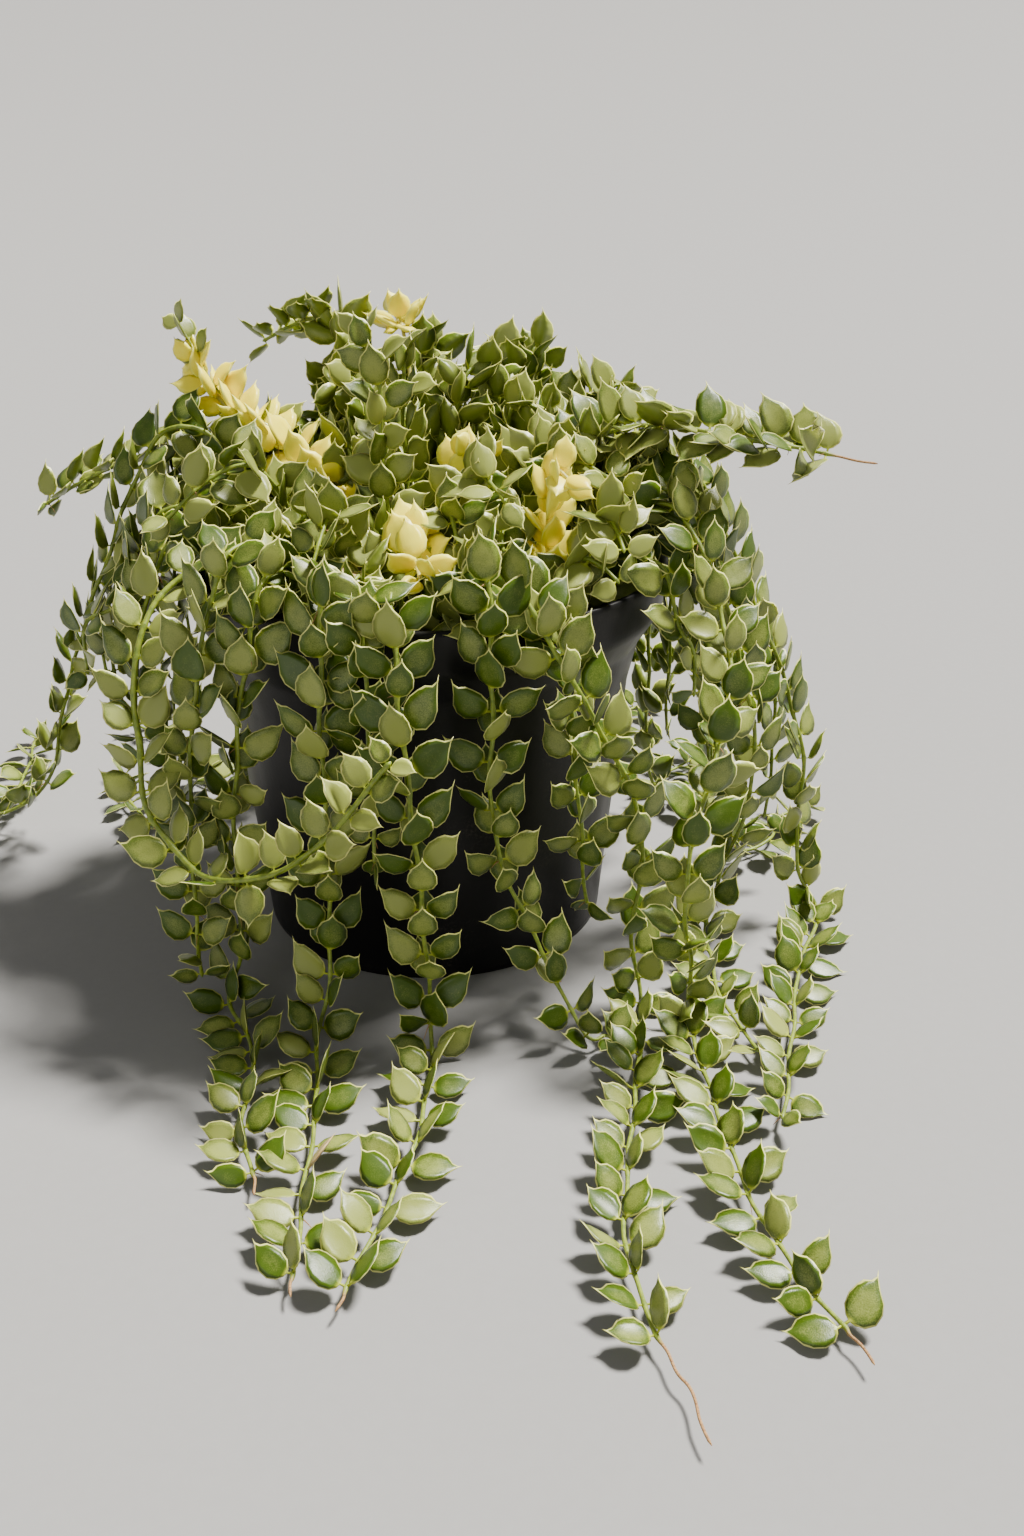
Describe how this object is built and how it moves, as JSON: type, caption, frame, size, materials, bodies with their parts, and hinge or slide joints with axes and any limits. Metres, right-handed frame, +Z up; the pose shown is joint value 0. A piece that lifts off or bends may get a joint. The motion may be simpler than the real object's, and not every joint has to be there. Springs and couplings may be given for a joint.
{
  "type": "potted variegated string of nickels plant",
  "caption": "Trailing houseplant with small round leaves, green with pale edges and some all cream, spilling from a plain black nursery pot.",
  "frame": {"origin": "centre of the pot's base, on the surface it stands on", "axes": "+Z up along the pot's axis, -Y towards the front, where the longest stems trail, +X to the viewer's right"},
  "size_m": [0.2803, 0.3664, 0.1691],
  "materials": {
    "pot": "satin",
    "mix": "matte",
    "green_leaf": "satin",
    "cream_leaf": "satin"
  },
  "bodies": {
    "root": {"pot": "pot", "potting_mix": "mix", "trailing_stem_01": "green_leaf", "trailing_stem_02": "green_leaf", "trailing_stem_03": "green_leaf", "trailing_stem_04": "green_leaf", "trailing_stem_05": "green_leaf", "trailing_stem_06": "green_leaf", "trailing_stem_07": "green_leaf", "trailing_stem_08": "green_leaf", "trailing_stem_09": "green_leaf", "trailing_stem_10": "green_leaf", "trailing_stem_11": "green_leaf", "trailing_stem_12": "green_leaf", "trailing_stem_13": "green_leaf", "trailing_stem_14": "green_leaf", "trailing_stem_15": "green_leaf", "trailing_stem_16": "green_leaf", "trailing_stem_17": "green_leaf", "hanging_stem_01": "green_leaf", "hanging_stem_02": "green_leaf", "hanging_stem_03": "green_leaf", "hanging_stem_04": "green_leaf", "hanging_stem_05": "green_leaf", "hanging_stem_06": "green_leaf", "hanging_stem_07": "green_leaf", "hanging_stem_08": "green_leaf", "hanging_stem_09": "green_leaf", "hanging_stem_10": "green_leaf", "hanging_stem_11": "green_leaf", "hanging_stem_12": "green_leaf", "hanging_stem_13": "green_leaf", "loop_stem": "green_leaf", "green_shoot_01": "green_leaf", "green_shoot_02": "green_leaf", "green_shoot_03": "green_leaf", "green_shoot_04": "green_leaf", "green_shoot_05": "green_leaf", "green_shoot_06": "green_leaf", "green_shoot_07": "green_leaf", "green_shoot_08": "green_leaf", "green_shoot_09": "green_leaf", "green_shoot_10": "green_leaf", "green_shoot_11": "green_leaf", "green_shoot_12": "green_leaf", "green_shoot_13": "green_leaf", "green_shoot_14": "green_leaf", "green_shoot_15": "green_leaf", "green_shoot_16": "green_leaf", "green_shoot_17": "green_leaf", "green_shoot_18": "green_leaf", "cream_shoot_01": "cream_leaf", "cream_shoot_02": "cream_leaf", "cream_shoot_03": "cream_leaf", "cream_shoot_04": "cream_leaf", "cream_shoot_05": "cream_leaf"}
  },
  "joints": []
}
